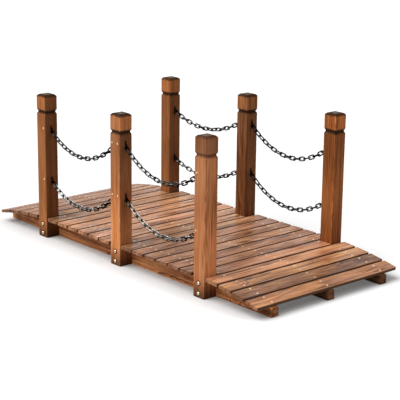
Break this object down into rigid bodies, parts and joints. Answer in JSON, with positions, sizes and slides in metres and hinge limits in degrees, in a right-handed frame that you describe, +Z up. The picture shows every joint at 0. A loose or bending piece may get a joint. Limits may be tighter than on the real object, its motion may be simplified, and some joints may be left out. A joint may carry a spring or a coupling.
{
  "type": "garden bridge",
  "caption": "Low slatted timber garden bridge with a flat deck that curves down at both ends, square grooved posts and hanging chain rails on each side.",
  "frame": {"origin": "middle of the footprint, on the ground under the middle beam", "axes": "+X along the bridge towards the end that is nearer in the picture, +Y across it away from the viewer's side, +Z up"},
  "size_m": [1.5102, 0.672, 0.555],
  "materials": {
    "beam_wood": "stained softwood, satin",
    "post_wood": "stained softwood, satin",
    "deck_wood": "stained softwood, satin",
    "black_steel": "black coated steel wire, slightly worn",
    "zinc_steel": "zinc plated"
  },
  "bodies": {
    "root": {"near_beam": "beam_wood", "middle_beam": "beam_wood", "far_beam": "beam_wood", "near_left_post": "post_wood", "near_middle_post": "post_wood", "near_right_post": "post_wood", "far_left_post": "post_wood", "far_middle_post": "post_wood", "far_right_post": "post_wood", "deck_plank_01": "deck_wood", "deck_plank_02": "deck_wood", "deck_plank_03": "deck_wood", "deck_plank_04": "deck_wood", "deck_plank_05": "deck_wood", "deck_plank_06": "deck_wood", "deck_plank_07": "deck_wood", "deck_plank_08": "deck_wood", "deck_plank_09": "deck_wood", "deck_plank_10": "deck_wood", "deck_plank_11": "deck_wood", "deck_plank_12": "deck_wood", "deck_plank_13": "deck_wood", "deck_plank_14": "deck_wood", "deck_plank_15": "deck_wood", "deck_plank_16": "deck_wood", "deck_plank_17": "deck_wood", "deck_plank_18": "deck_wood", "deck_plank_19": "deck_wood", "deck_plank_20": "deck_wood", "deck_plank_21": "deck_wood", "deck_plank_22": "deck_wood", "deck_plank_23": "deck_wood", "near_left_upper_chain": "black_steel", "near_left_lower_chain": "black_steel", "near_right_upper_chain": "black_steel", "near_right_lower_chain": "black_steel", "far_left_upper_chain": "black_steel", "far_left_lower_chain": "black_steel", "far_right_upper_chain": "black_steel", "far_right_lower_chain": "black_steel", "near_bolts": "zinc_steel", "far_bolts": "zinc_steel", "near_chain_pins": "zinc_steel", "far_chain_pins": "zinc_steel"}
  },
  "joints": []
}
